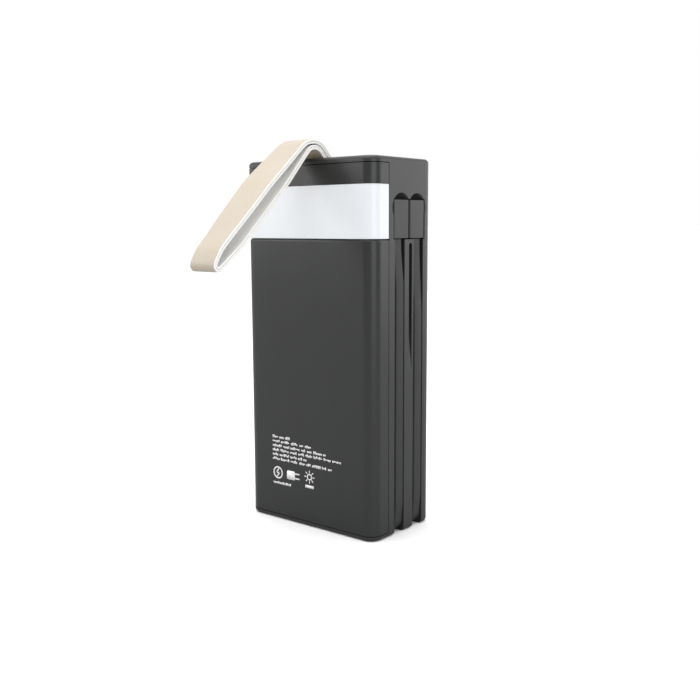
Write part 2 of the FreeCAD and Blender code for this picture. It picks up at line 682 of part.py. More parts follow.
def strap_root_leather():
    """Both leather plies, joined in an eye that turns on the pin."""
    start, end = V(-STRAP_W / 2, PIN_Y, PIN_Z), V(STRAP_W / 2, PIN_Y, PIN_Z)
    bore = PIN_R + PIN_CLEARANCE
    eye = rod(bore + LEATHER_T + LINING_T, start, end)
    root = root_slab(STRAP_T / 2, 0).fuse(eye).cut(rod(bore, start, end))
    return root.cut(strap_root_lining())


def strap_pin():
    seat = WELL_HALF_W + PIN_SEAT - COVER_GAP
    return rod(PIN_R, V(-seat, PIN_Y, PIN_Z), V(seat, PIN_Y, PIN_Z))


# ---- battery ----
def cell_box(index):
    depth = 2 * INNER_BACK_Y - (CELL_COUNT - 1) * CELL_FOAM_T - 2 * CELL_GAP
    thick = depth / CELL_COUNT
    y0 = -INNER_BACK_Y + CELL_GAP + index * (thick + CELL_FOAM_T)
    x0 = -SIDE_X + WALL + LIP_WALL + 2 * COVER_GAP + CELL_GAP
    return x0, CHANNEL_BLOCK_X - CELL_GAP, y0, y0 + thick


def battery_cell(index):
    """One pouch cell with soft long edges."""
    x0, x1, y0, y1 = cell_box(index)
    cell = box(x0, x1, y0, y1, CELL_BASE_Z, CELL_Z1)
    upright = [e for e in cell.Edges if e.BoundBox.ZLength > 1]
    return cell.makeFillet(CELL_EDGE_R, upright)


def cell_foam():
    pads = []
    for index in range(CELL_COUNT - 1):
        x0, x1, _, y1 = cell_box(index)
        pads.append(box(x0 + FOAM_MARGIN, x1 - FOAM_MARGIN, y1, y1 + CELL_FOAM_T, CELL_BASE_Z + FOAM_MARGIN,
                        CELL_Z1 - FOAM_MARGIN))
    return Part.makeCompound(pads)


def cell_tabs():
    tabs = []
    for index in range(CELL_COUNT):
        _, _, y0, y1 = cell_box(index)
        y = (y0 + y1) / 2
        w, t = TAB_SIZE
        for side in (-1, 1):
            x = side * TAB_PITCH / 2
            tabs.append(box(x - w / 2, x + w / 2, y - t / 2, y + t / 2, CELL_Z1, CELL_Z1 + PROTECTION_GAP))
    return Part.makeCompound(tabs)


def protection_board():
    w, t = PROTECTION_BOARD
    _, _, y0, _ = cell_box(0)
    _, _, _, y1 = cell_box(CELL_COUNT - 1)
    z = CELL_Z1 + PROTECTION_GAP
    return box(-w / 2, w / 2, y0 + FOAM_MARGIN, y1 - FOAM_MARGIN, z, z + t)


# ---- main board ----
def main_board():
    board = box(BOARD_X0, BOARD_X1, BOARD_Y0, BOARD_Y1, BOARD_Z0, BOARD_Z1)
    for place in board_screw_places():
        board = board.cut(rod(SCREW_R, place, place + Y_AXIS * SCREW_LENGTH))
    return board


def board_screws():
    screws = [screw(place, Y_AXIS) for place in board_screw_places()]
    screws += [screw(place, Z_AXIS * -1) for place in cable_board_screw_places()]
    return Part.makeCompound(screws)


def port_shell(port, z):
    """A port's metal shell: a tube with a closed back, open through the side wall."""
    x = -SIDE_X + PORT_SINK
    outer = port_outline(port, z, 0, x).extrude(V(port["deep"], 0, 0))
    inner = port_outline(port, z, -port["wall"], x).extrude(V(port["deep"] - port["wall"], 0, 0))
    return outer.cut(inner)


def port_tongue(port, z):
    """The contact tongue inside a port, rooted in the back of its shell."""
    y = BOARD_Y0 - port["thick"] / 2
    x0 = -SIDE_X + PORT_SINK + 1.0
    x1 = -SIDE_X + PORT_SINK + port["deep"] - port["wall"]
    half_w = port["wide"] / 2 - 4 * port["wall"]
    return box(x0, x1, y - port["tongue"] / 2, y + port["tongue"] / 2, z - half_w, z + half_w)


def board_parts_x():
    return BOARD_X0 + USB_A_PORT["deep"] + BOARD_SCREW_INSET


def power_inductor():
    w, t, h = INDUCTOR
    x = board_parts_x() + w
    z = BOARD_Z0 + BOARD_H / 2
    face = rounded_face(x - w / 2, x + w / 2, z - h / 2, z + h / 2, 2.0, in_xz)
    face.translate(V(0, BOARD_Y0 - t, 0))
    return face.extrude(V(0, t, 0))


def capacitors():
    x = board_parts_x() + 2 * INDUCTOR[0]
    cans = []
    for step in (-1, 1):
        z = BOARD_Z0 + BOARD_H / 2 + step * 1.4 * CAPACITOR_R
        cans.append(rod(CAPACITOR_R, V(x, BOARD_Y0 - CAPACITOR_L, z), V(x, BOARD_Y0, z)))
    return Part.makeCompound(cans)


def board_chips():
    w, t, h = CHIP
    chips = []
    for x in (board_parts_x() + w / 2, board_parts_x() + 2 * INDUCTOR[0]):
        z = BOARD_Z0 + 2 * BOARD_SCREW_INSET + h
        chips.append(box(x - w / 2, x + w / 2, BOARD_Y0 - t, BOARD_Y0, z - h / 2, z + h / 2))
    return Part.makeCompound(chips)


def display_module():
    w, t, h = DISPLAY_MODULE
    return box(-w / 2, w / 2, BOARD_Y1, BOARD_Y1 + t, DISPLAY_Z - h / 2, DISPLAY_Z + h / 2)


def display_window():
    half_w = WINDOW_SIZE[0] / 2 - WINDOW_GAP
    half_h = WINDOW_SIZE[1] / 2 - WINDOW_GAP
    face = rounded_face(-half_w, half_w, DISPLAY_Z - half_h, DISPLAY_Z + half_h, WINDOW_R - WINDOW_GAP, in_xz)
    face.translate(V(0, BACK_Y - WINDOW_T, 0))
    return face.extrude(V(0, WINDOW_T, 0))


def tact_switch():
    w, t, h = SWITCH_SIZE
    body = box(-w / 2, w / 2, BOARD_Y1, BOARD_Y1 + t, BUTTON_Z - h / 2, BUTTON_Z + h / 2)
    top = BOARD_Y1 + t
    return body.fuse(rod(PLUNGER_R, V(0, top, BUTTON_Z), V(0, top + PLUNGER_T, BUTTON_Z)))


def power_button():
    """A round cap through the back wall, a flange behind the wall and a stem over the switch."""
    flange_y = INNER_BACK_Y - COVER_GAP
    stem_y = BOARD_Y1 + SWITCH_SIZE[1] + PLUNGER_T + BUTTON_TRAVEL + PLUNGER_GAP
    cap = rod(BUTTON_R, V(0, flange_y, BUTTON_Z), V(0, BACK_Y + BUTTON_PROUD, BUTTON_Z))
    rim = [e for e in cap.Edges if e.BoundBox.YMin > BACK_Y]
    cap = cap.makeFillet(BUTTON_PROUD / 2, rim)
    flange = rod(BUTTON_FLANGE_R, V(0, flange_y - BUTTON_FLANGE_T, BUTTON_Z), V(0, flange_y, BUTTON_Z))
    stem = rod(STEM_R, V(0, stem_y, BUTTON_Z), V(0, flange_y, BUTTON_Z))
    return cap.fuse(flange).fuse(stem).removeSplitter()


def all_parts():
    parts = {
        "rear_shell": rear_shell(),
        "front_cover": front_cover(),
        "lamp_diffuser": lamp_diffuser(),
        "lamp_reflector": lamp_reflector(),
        "led_board": led_board(),
        "lamp_leds": lamp_leds(),
        "strap_pin": strap_pin(),
        "strap_root_leather": strap_root_leather(),
        "strap_root_lining": strap_root_lining(),
        "strap_loop_leather": strap_loop_ply(0, LEATHER_T),
        "strap_loop_lining": strap_loop_ply(LEATHER_T, LEATHER_T + LINING_T),
        "cell_foam": cell_foam(),
        "cell_tabs": cell_tabs(),
        "protection_board": protection_board(),
        "cable_board": cable_board(),
        "main_board": main_board(),
        "board_screws": board_screws(),
        "power_inductor": power_inductor(),
        "capacitors": capacitors(),
        "board_chips": board_chips(),
        "display_module": display_module(),
        "display_window": display_window(),
        "tact_switch": tact_switch(),
        "power_button": power_button(),
    }
    for index in range(CELL_COUNT):
        parts[f"battery_cell_{index + 1}"] = battery_cell(index)
    for name, side, tip in CABLES:
        parts[f"{name}_cable"] = flat_cable(side)
        parts[f"{name}_grommet"] = cable_grommet(side)
        parts[f"{name}_plug_head"] = plug_head(side, tip)
        parts[f"{name}_plug_tip"] = plug_tip(side, tip)
    for name, port, z in port_places():
        parts[f"{name}_port_shell"] = port_shell(port, z)
        if port["tongue"] > 0:
            parts[f"{name}_port_tongue"] = port_tongue(port, z)
    return parts


def main():
    os.makedirs("parts", exist_ok=True)
    for name, shape in all_parts().items():
        shape.exportStep(f"parts/{name}.step")
        print(f"{name}: {len(shape.Solids)} solid(s), {shape.Volume:.1f} mm3, valid {shape.isValid()}")
    expected = cable_length() * CABLE_W * CABLE_T
    print(f"cable: {cable_length():.1f} mm long, {expected:.1f} mm3 expected,"
          f" bends {CABLE_BEND_R} and {CABLE_EXIT_R} mm")


main()
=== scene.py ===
import math
import random

import bmesh
import bpy
from mathutils import Matrix, Vector


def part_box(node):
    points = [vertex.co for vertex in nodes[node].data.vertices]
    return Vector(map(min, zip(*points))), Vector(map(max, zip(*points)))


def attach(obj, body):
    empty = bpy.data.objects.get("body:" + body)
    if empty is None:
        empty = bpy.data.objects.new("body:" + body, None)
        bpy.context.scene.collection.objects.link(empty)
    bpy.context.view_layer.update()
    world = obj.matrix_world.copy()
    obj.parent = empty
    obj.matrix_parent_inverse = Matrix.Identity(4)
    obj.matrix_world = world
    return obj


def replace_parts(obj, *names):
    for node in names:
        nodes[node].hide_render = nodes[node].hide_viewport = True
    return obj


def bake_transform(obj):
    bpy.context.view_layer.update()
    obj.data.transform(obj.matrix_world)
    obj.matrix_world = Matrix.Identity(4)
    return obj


# Looks of a power bank with a side lamp, two built-in flat cables and a carrying strap.
# Everything is in metres in the row frame; MM turns the part's millimetres into them.

MM = 0.001
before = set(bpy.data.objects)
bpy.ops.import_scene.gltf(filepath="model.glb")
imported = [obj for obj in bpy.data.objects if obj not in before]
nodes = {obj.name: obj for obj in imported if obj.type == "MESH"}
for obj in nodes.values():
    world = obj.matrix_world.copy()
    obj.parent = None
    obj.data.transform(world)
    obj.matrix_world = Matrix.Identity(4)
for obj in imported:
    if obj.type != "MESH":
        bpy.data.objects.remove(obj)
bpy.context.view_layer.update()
chance = random.Random(7)

# ---- sizes that the pieces made here share with the part ----
SIDE_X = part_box("rear_shell")[1].x / MM
FRONT_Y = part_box("front_cover")[0].y / MM
PLUG_Z0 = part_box("usb_c_plug_head")[0].z / MM
CABLE_W, CABLE_T, CABLE_SINK = 5.3, 2.2, 0.6
CABLE_X = SIDE_X - CABLE_SINK - CABLE_T / 2
CABLE_Z = CABLE_SINK + CABLE_T / 2
CABLE_EXIT_X = SIDE_X - 14.0
CABLE_EXIT_Z, CABLE_END_GAP, CABLE_SIDE_GAP = 9.2, 0.05, 0.08
CABLE_BENDS, CABLE_STEP, CABLE_ROUND = (3.2, 3.4), 0.8, 0.5
CABLE_PLAY, CABLE_RISE = 0.6, 0.42
STRAP_W, STRAP_T, PLY_GAP = 12.7, 4.0, 0.05
OUTER_T, INNER_T = 0.98, 0.76
STRAP_TWIST, TWIST_FROM, TWIST_RUN = 0.7, 6, 40
PLY_STEP, PLY_ROUND, CUT_EDGE = 0.5, 0.26, 0.22
PIN = (-9.6, 146.7)
STRAP_LEAN = math.radians(46.0)
CREST_Y, CREST_Z = -20.7209, 157.1
PRINT_T = 0.03

# ---- camera ----
YAW, PITCH, ROLL = math.radians(39.31), math.radians(7.86), math.radians(-0.23)
level = math.cos(PITCH)
ahead = Vector((-math.sin(YAW) * level, math.cos(YAW) * level, -math.sin(PITCH)))
right = ahead.cross(Vector((0, 0, 1))).normalized()
up = right.cross(ahead)
right, up = (
    math.cos(ROLL) * right + math.sin(ROLL) * up,
    math.cos(ROLL) * up - math.sin(ROLL) * right,
)
camera = bpy.data.objects.new("camera", bpy.data.cameras.new("camera"))
bpy.context.scene.collection.objects.link(camera)
camera.matrix_world = Matrix.Translation(Vector((0.2435, -0.2896, 0.1241))) @ Matrix(
    (right, up, -ahead)
).transposed().to_4x4()
camera.data.sensor_width = 36.0
camera.data.lens = 46.61
camera.data.clip_start = 0.01
camera.data.clip_end = 60.0
bpy.context.scene.camera = camera


# ---- materials ----
class Shade:
    """A material's nodes, with short calls for the ones used here."""

    def __init__(self, name):
        self.material = bpy.data.materials.new(name)
        self.material.use_nodes = True
        self.tree = self.material.node_tree
        self.shader = self.tree.nodes["Principled BSDF"]
        self.place = self.tree.nodes.new("ShaderNodeTexCoord").outputs["Object"]

    def node(self, kind, links=(), **settings):
        made = self.tree.nodes.new(kind)
        for key, value in settings.items():
            setattr(made, key, value)
        for socket, value in dict(links).items():
            self.put(made.inputs[socket], value)
        return made

    def put(self, socket, value):
        if isinstance(value, bpy.types.NodeSocket):
            self.tree.links.new(value, socket)
        else:
            socket.default_value = value

    def set(self, **values):
        for name, value in values.items():
            self.put(self.shader.inputs[name.replace("_", " ")], value)

    def stretched(self, x, y, z):
        return self.node("ShaderNodeMapping", {"Vector": self.place, "Scale": (x, y, z)}).outputs[0]

    def noise(self, per_mm, detail=2.0, rough=0.5, where=None):
        made = self.node(
            "ShaderNodeTexNoise",
            {
                "Vector": where or self.place,
                "Scale": per_mm / MM,
                "Detail": detail,
                "Roughness": rough,
            },
        )
        return made.outputs["Fac"]

    def cells(self, per_mm, feature="F1", where=None):
        made = self.node(
            "ShaderNodeTexVoronoi",
            {"Vector": where or self.place, "Scale": per_mm / MM},
            feature=feature,
        )
        return made.outputs["Distance"]

    def waves(self, per_mm, direction, distortion=0.0, where=None):
        made = self.node(
            "ShaderNodeTexWave",
            {"Vector": where or self.place, "Scale": per_mm / MM, "Distortion": distortion},
            bands_direction=direction,
        )
        return made.outputs["Fac"]

    def span(self, value, low, high, from_low=0.0, from_high=1.0):
        made = self.node(
            "ShaderNodeMapRange",
            {
                "Value": value,
                "From Min": from_low,
                "From Max": from_high,
                "To Min": low,
                "To Max": high,
            },
        )
        return made.outputs["Result"]

    def mix(self, share, one, other):
        made = self.node(
            "ShaderNodeMix", {0: share, 6: (*one, 1), 7: (*other, 1)}, data_type="RGBA"
        )
        return made.outputs[2]

    def over(self, share, colour, other):
        """The linked colour with another painted over it by a share."""
        made = self.node("ShaderNodeMix", {0: share, 6: colour, 7: (*other, 1)}, data_type="RGBA")
        return made.outputs[2]

    def sum(self, one, other, share=1.0):
        made = self.node(
            "ShaderNodeMath", {0: other, 1: share, 2: one}, operation="MULTIPLY_ADD"
        )
        return made.outputs[0]

    def bump(self, height, depth_mm, strength=1.0):
        made = self.node(
            "ShaderNodeBump",
            {"Height": height, "Distance": depth_mm * MM, "Strength": strength},
        )
        self.put(self.shader.inputs["Normal"], made.outputs[0])


def moulded(name, colour, light, rough, grain=6.0, depth=0.012, specular=0.5):
    """Spark-textured moulded plastic: fine grain, faint flow marks and an uneven sheen."""
    s = Shade(name)
    fine = s.noise(grain, 3.0, 0.6)
    flow = s.noise(0.03, 3.0, 0.5, s.stretched(1, 1, 0.35))
    s.set(Base_Color=s.mix(flow, colour, light), Specular_IOR_Level=specular)
    s.set(Roughness=s.span(s.sum(flow, fine, 0.35), rough - 0.05, rough + 0.06, 0.3, 1.0))
    s.bump(s.sum(fine, s.cells(grain * 0.6), 0.5), depth)
    return s.material


def metal(name, colour, dark, rough, stretch, scratch=12.0, depth=0.004):
    """Plated or drawn metal with fine lines one way and dull patches."""
    s = Shade(name)
    lines = s.noise(scratch, 4.0, 0.65, s.stretched(*stretch))
    dull = s.noise(0.35, 3.0, 0.5)
    s.set(Base_Color=s.mix(dull, colour, dark), Metallic=1.0)
    s.set(Roughness=s.span(s.sum(dull, lines, 0.5), rough - 0.07, rough + 0.1, 0.4, 1.1))
    s.bump(lines, depth)
    return s.material


def milky():
    """Opal polycarbonate: light goes in a little way, and the skin is satin."""
    s = Shade("diffuser")
    cloud = s.noise(0.05, 2.0, 0.5)
    fine = s.noise(5.0, 2.0, 0.5)
    s.set(Base_Color=s.mix(cloud, (0.82, 0.85, 0.885), (0.85, 0.875, 0.905)))
    s.set(Roughness=s.span(fine, 0.24, 0.34))
    s.set(Subsurface_Weight=0.25, Subsurface_Radius=(1.0, 1.0, 1.0), Subsurface_Scale=0.0015)
    s.set(Coat_Weight=0.15, Coat_Roughness=0.12)
    s.bump(fine, 0.004)
    return s.material


def leather():
    """Smooth split leather with a pressed grain: small pebbles, finer pores and a soft sheen."""
    s = Shade("strap_leather")
    pebbles = s.cells(2.6, "DISTANCE_TO_EDGE")
    creases = s.span(pebbles, 0.0, 1.0, 0.0, 0.12)
    pores = s.noise(7.0, 3.0, 0.6)
    tone = s.noise(0.07, 3.0, 0.55)
    base = s.mix(tone, (0.495, 0.432, 0.345), (0.550, 0.488, 0.400))
    base = s.over(s.span(creases, 0.10, 0.0), base, (0.41, 0.35, 0.27))
    s.set(Base_Color=base, Roughness=s.span(s.sum(creases, pores, 0.6), 0.60, 0.46, 0.2, 1.6))
    s.set(Specular_IOR_Level=0.4, Sheen_Weight=0.08, Sheen_Roughness=0.4)
    s.bump(s.sum(creases, pores, 0.5), 0.018)
    return s.material


def lining():
    """Off-white microfibre: a short brushed nap over a fine knit."""
    s = Shade("strap_lining")
    nap = s.noise(5.0, 4.0, 0.7)
    knit = s.cells(3.2)
    tone = s.noise(0.09, 2.0, 0.5)
    base = s.mix(s.sum(tone, nap, 0.3), (0.70, 0.69, 0.67), (0.80, 0.795, 0.775))
    s.set(Base_Color=base, Roughness=s.span(nap, 0.82, 0.95), Specular_IOR_Level=0.25)
    s.set(Sheen_Weight=0.25, Sheen_Roughness=0.5)
    s.bump(s.sum(nap, knit, 0.7), 0.03)
    return s.material


def cut_edge():
    """The strap's cut and sealed edge: pale, with the board's fibres along it."""
    s = Shade("strap_edge")
    fibres = s.noise(4.0, 4.0, 0.7)
    s.set(Base_Color=s.mix(fibres, (0.86, 0.85, 0.83), (0.94, 0.935, 0.92)))
    s.set(Roughness=s.span(fibres, 0.55, 0.75))
    s.bump(fibres, 0.02)
    return s.material


def sheath():
    """Soft elastomer sheath with a dusty matt skin and faint die lines along it."""
    s = Shade("cable_sheath")
    lines = s.noise(3.0, 3.0, 0.6, s.stretched(1, 1, 0.02))
    dust = s.noise(0.25, 4.0, 0.6)
    fine = s.noise(8.0, 2.0, 0.5)
    s.set(Base_Color=s.mix(dust, (0.0165, 0.0178, 0.0178), (0.0250, 0.0265, 0.0262)))
    s.set(Specular_IOR_Level=0.45)
    s.set(Roughness=s.span(s.sum(dust, lines, 0.4), 0.42, 0.58, 0.3, 1.0))
    s.bump(s.sum(lines, fine, 0.5), 0.012)
    return s.material


def solder_mask(name, colour, copper):
    """A circuit board: lacquered mask over copper tracks."""
    s = Shade(name)
    tracks = s.waves(0.35, "DIAGONAL", 6.0)
    edges = s.span(tracks, 0.0, 1.0, 0.55, 0.62)
    s.set(Base_Color=s.mix(edges, colour, copper), Roughness=s.span(s.noise(0.8), 0.24, 0.38))
    s.bump(edges, 0.03)
    return s.material


def lit_chip():
    """White LED packages: a pale case with a yellow phosphor middle in each."""
    s = Shade("led")
    dots = s.cells(0.28)
    phosphor = s.span(dots, 1.0, 0.0, 0.1, 0.35)
    s.set(Base_Color=s.mix(phosphor, (0.82, 0.82, 0.80), (0.83, 0.66, 0.12)))
    s.set(Roughness=s.span(s.noise(2.0), 0.25, 0.4))
    return s.material


def pouch():
    """A pouch cell's laminated foil, with soft wrinkles."""
    s = Shade("cell_pouch")
    folds = s.noise(0.12, 3.0, 0.6, s.stretched(1, 1, 0.5))
    s.set(Base_Color=s.mix(folds, (0.60, 0.61, 0.63), (0.72, 0.73, 0.75)), Metallic=1.0)
    s.set(Roughness=s.span(folds, 0.32, 0.5))
    s.bump(folds, 0.12)
    return s.material


def foam():
    """Closed-cell foam: small open bubbles on a dull grey skin."""
    s = Shade("foam")
    bubbles = s.cells(2.2)
    s.set(Base_Color=s.mix(bubbles, (0.10, 0.10, 0.11), (0.20, 0.20, 0.21)))
    s.set(Roughness=s.span(bubbles, 0.8, 0.95))
    s.bump(bubbles, 0.15)
    return s.material


def smoked():
    """The display window: glossy smoked acrylic with hairline marks."""
    s = Shade("display_plastic")
    hair = s.noise(1.5, 4.0, 0.6, s.stretched(1, 1, 6))
    tone = s.noise(0.06, 2.0, 0.5)
    s.set(Base_Color=s.mix(tone, (0.006, 0.006, 0.007), (0.011, 0.011, 0.013)))
    s.set(Roughness=s.span(hair, 0.05, 0.13), Coat_Weight=0.4, Coat_Roughness=0.03)
    s.bump(hair, 0.0008)
    return s.material


def turned_button():
    """Satin button plastic with the fine rings that a turned mould leaves."""
    s = Shade("button_plastic")
    low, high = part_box("power_button")
    middle = (low + high) / 2
    moved = s.node("ShaderNodeMapping", {"Vector": s.place, "Location": -middle}).outputs[0]
    rings = s.node(
        "ShaderNodeTexWave",
        {"Vector": moved, "Scale": 900.0},
        wave_type="RINGS",
        rings_direction="Y",
    ).outputs["Fac"]
    s.set(Base_Color=s.mix(s.noise(0.2), (0.020, 0.021, 0.021), (0.028, 0.029, 0.029)))
    s.set(Roughness=s.span(rings, 0.24, 0.34))
    s.bump(rings, 0.006)
    return s.material


def printing(name, colour):
    """Pad-printed ink: thin, with a broken edge where it lies over the grain."""
    s = Shade(name)
    worn = s.noise(3.0, 3.0, 0.6)
    duller = tuple(c * 0.82 for c in colour)
    s.set(Base_Color=s.mix(worn, duller, colour), Roughness=s.span(worn, 0.45, 0.6))
    s.bump(worn, 0.004)
    return s.material


LONGWAYS, CROSSWAYS = (1, 1, 0.05), (0.05, 1, 1)
LOOKS = {
    "case_plastic": moulded(
        "case_plastic", (0.0205, 0.0218, 0.0214), (0.0238, 0.0250, 0.0246), 0.34
    ),
    "cover_plastic": moulded(
        "cover_plastic", (0.0170, 0.0181, 0.0179), (0.0198, 0.0209, 0.0206), 0.30
    ),
    "plug_plastic": moulded(
        "plug_plastic", (0.0205, 0.0216, 0.0213), (0.0240, 0.0251, 0.0248), 0.38, 8.0, 0.010
    ),
    "component_black": moulded(
        "component_black", (0.020, 0.020, 0.020), (0.034, 0.034, 0.034), 0.55, 5.0
    ),
    "ferrite": moulded("ferrite", (0.085, 0.085, 0.09), (0.14, 0.14, 0.15), 0.6, 3.0, 0.04),
    "port_tongue": moulded(
        "port_tongue", (0.018, 0.018, 0.019), (0.026, 0.026, 0.027), 0.45, 6.0
    ),
    "reflector": moulded("reflector", (0.80, 0.81, 0.82), (0.88, 0.88, 0.88), 0.45, 4.0),
    "grommet_rubber": moulded(
        "grommet_rubber", (0.018, 0.018, 0.018), (0.030, 0.030, 0.030), 0.6, 5.0, 0.02
    ),
    "white_board": solder_mask("white_board", (0.82, 0.83, 0.82), (0.74, 0.74, 0.72)),
    "green_board": solder_mask("green_board", (0.020, 0.14, 0.06), (0.035, 0.21, 0.09)),
    "plug_metal": metal("plug_metal", (0.74, 0.73, 0.70), (0.62, 0.61, 0.59), 0.24, LONGWAYS),
    "port_metal": metal("port_metal", (0.66, 0.66, 0.65), (0.50, 0.50, 0.49), 0.28, CROSSWAYS),
    "contact_gold": metal(
        "contact_gold", (0.83, 0.62, 0.26), (0.70, 0.50, 0.20), 0.22, CROSSWAYS
    ),
    "steel": metal("steel", (0.60, 0.60, 0.61), (0.46, 0.46, 0.47), 0.26, CROSSWAYS),
    "tab_metal": metal("tab_metal", (0.70, 0.69, 0.66), (0.58, 0.57, 0.55), 0.3, LONGWAYS),
    "screw_steel": metal(
        "screw_steel", (0.55, 0.55, 0.56), (0.38, 0.38, 0.39), 0.34, (1, 1, 1)
    ),
    "can_metal": metal("can_metal", (0.72, 0.72, 0.73), (0.6, 0.6, 0.61), 0.25, LONGWAYS),
    "diffuser": milky(),
    "led": lit_chip(),
    "cable_sheath": sheath(),
    "leather": leather(),
    "lining": lining(),
    "strap_edge": cut_edge(),
    "cell_pouch": pouch(),
    "foam": foam(),
    "display_plastic": smoked(),
    "button_plastic": turned_button(),
    "label_ink": printing("label_ink", (0.92, 0.92, 0.92)),
    "segment_ink": printing("segment_ink", (0.12, 0.125, 0.13)),
}

NODE_LOOKS = {
    "rear_shell": "case_plastic",
    "front_cover": "cover_plastic",
    "lamp_diffuser": "diffuser",
    "lamp_reflector": "reflector",
    "led_board": "white_board",
    "lamp_leds": "led",
    "strap_pin": "steel",
    "cell_foam": "foam",
    "cell_tabs": "tab_metal",
    "protection_board": "green_board",
    "cable_board": "green_board",
    "main_board": "green_board",
    "board_screws": "screw_steel",
    "power_inductor": "ferrite",
    "capacitors": "can_metal",
    "board_chips": "component_black",
    "display_module": "component_black",
    "display_window": "display_plastic",
    "tact_switch": "component_black",
    "power_button": "button_plastic",
}
ENDINGS = {
    "plug_head": "plug_plastic",
    "plug_tip": "plug_metal",
    "port_shell": "port_metal",
    "port_tongue": "port_tongue",
    "grommet": "grommet_rubber",
    "cable": "cable_sheath",
    "leather": "leather",
    "lining": "lining",
}
for name, node in nodes.items():
    look = NODE_LOOKS.get(name)
    if name.startswith("battery_cell"):
        look = "cell_pouch"
    for ending, other in ENDINGS.items():
        if look is None and name.endswith(ending):
            look = other
    node.data.materials.clear()
    node.data.materials.append(LOOKS[look])


# ---- shapes ----
def new_piece(name, mesh, looks, body=None):
    """Finishes a bmesh into a smooth-shaded piece in metres."""
    bmesh.ops.recalc_face_normals(mesh, faces=mesh.faces)
    for face in mesh.faces:
        face.smooth = True
    data = bpy.data.meshes.new(name)
    mesh.to_mesh(data)
    mesh.free()
    data.transform(Matrix.Scale(MM, 4))
    for look in looks:
        data.materials.append(LOOKS[look])
    piece = bpy.data.objects.new(name, data)
    bpy.context.scene.collection.objects.link(piece)
    if body:
        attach(piece, body)
    return piece


def rounded_route(points, radii, step, closed=False):
    """Evenly spaced places along straight runs joined by tangent arcs."""
    points = [Vector(p) for p in points]
    count = len(points)
    dense = [] if closed else [points[0]]
    corners = range(count) if closed else range(1, count - 1)
    for i in corners:
        radius = radii[i] if closed else radii[i - 1]
        before, here, after = points[i - 1], points[i], points[(i + 1) % count]
        come, go = (here - before).normalized(), (after - here).normalized()
        turn = math.acos(max(-1, min(1, come.dot(go))))
        cut = radius * math.tan(turn / 2)
        start, end = here - come * cut, here + go * cut
        side = (go - come).normalized()
        middle = here + side * (radius / math.cos(turn / 2))
        pieces = max(2, int(radius * turn / step * 2))
        for k in range(pieces + 1):
            share = k / pieces
            spoke = ((start - middle) * (1 - share) + (end - middle) * share).normalized()
            dense.append(middle + spoke * radius)
    dense.append(dense[0] if closed else points[-1])
    lengths = [0.0]
    for a, b in zip(dense, dense[1:]):
        lengths.append(lengths[-1] + (b - a).length)
    amount = max(2, round(lengths[-1] / step))
    even, k = [], 0
    for j in range(amount if closed else amount + 1):
        want = lengths[-1] * j / amount
        while k < len(dense) - 2 and lengths[k + 1] < want:
            k += 1
        share = (want - lengths[k]) / max(lengths[k + 1] - lengths[k], 1e-9)
        even.append(dense[k].lerp(dense[k + 1], min(share, 1)))
    return even


def eased(route, rounds, keep):
    """A closed route with its bends relaxed, except where keep says how far a place may move."""
    for _ in range(rounds):
        count = len(route)
        moved = []
        for i, here in enumerate(route):
            middle = (route[i - 1] + route[(i + 1) % count]) / 2
            moved.append(here.lerp(middle, 0.5 * keep(here)))
        route = moved
    return route


def smooth(share):
    """A share from 0 to 1, eased at both ends."""
    share = max(0.0, min(1.0, share))
    return share * share * (3 - 2 * share)


def skin(mesh, rings, closed, looks=None):
    """Quads between rings of points, with the ends filled unless the rings close on themselves."""
    made = [[mesh.verts.new(p) for p in ring] for ring in rings]
    count = len(made[0])
    pairs = list(zip(made, made[1:]))
    if closed:
        pairs.append((made[-1], made[0]))
    for one, other in pairs:
        for k in range(count):
            face = mesh.faces.new((one[k], one[(k + 1) % count], other[(k + 1) % count], other[k]))
            if looks:
                face.material_index = looks[k]
    if not closed:
        mesh.faces.new(made[0])
        mesh.faces.new(reversed(made[-1]))


def rounded_section(half_w, half_thick, radius, steps=4):
    """A flat band's section, as (across, through) pairs."""
    places = []
    for sx, sy, start in ((1, 1, 0), (-1, 1, 90), (-1, -1, 180), (1, -1, 270)):
        for k in range(steps + 1):
            angle = math.radians(start + 90 * k / steps)
            across = sx * (half_w - radius) + radius * math.cos(angle)
            through = sy * (half_thick - radius) + radius * math.sin(angle)
            places.append((across, through))
    return places


# ---- strap ----
slope = Vector((-math.cos(STRAP_LEAN), math.sin(STRAP_LEAN)))
across = Vector((math.sin(STRAP_LEAN), math.cos(STRAP_LEAN)))
pin = Vector(PIN)
HALF_T = STRAP_T / 2
EYE, EYE_R, NECK_R = 3.2, 3.18, 2.0
EYE_NECK, EYE_FOOT, FOOT_R = 1.8, 4.4, 3.0
STRAP_ROUTE = [
    ((CREST_Y + 3.86, CREST_Z), 8.5),
    ((CREST_Y - 4.42, CREST_Z), 12.5),
    ((CREST_Y - 25.8, CREST_Z - 17.0), 80.0),
    ((CREST_Y - 50.9, CREST_Z - 41.2), 14.0),
    ((CREST_Y - 54.65, CREST_Z - 47.5), 2.4),
    ((CREST_Y - 51.75, CREST_Z - 50.2), 2.4),
    ((CREST_Y - 39.3, CREST_Z - 40.9), 40.0),
    ((CREST_Y - 15.34, CREST_Z - 18.4), 60.0),
    ((CREST_Y - 1.9, CREST_Z - STRAP_T), 3.8),
    ((CREST_Y + 2.16, CREST_Z - STRAP_T), 4.5),
    (pin - across * HALF_T + slope * EYE_FOOT, FOOT_R),
    (pin - across * EYE + slope * EYE_NECK, NECK_R),
    (pin - across * EYE - slope * EYE, EYE_R),
    (pin + across * EYE - slope * EYE, EYE_R),
    (pin + across * EYE + slope * EYE_NECK, NECK_R),
    (pin + across * HALF_T + slope * EYE_FOOT, FOOT_R),
]
corners, bends = zip(*STRAP_ROUTE)
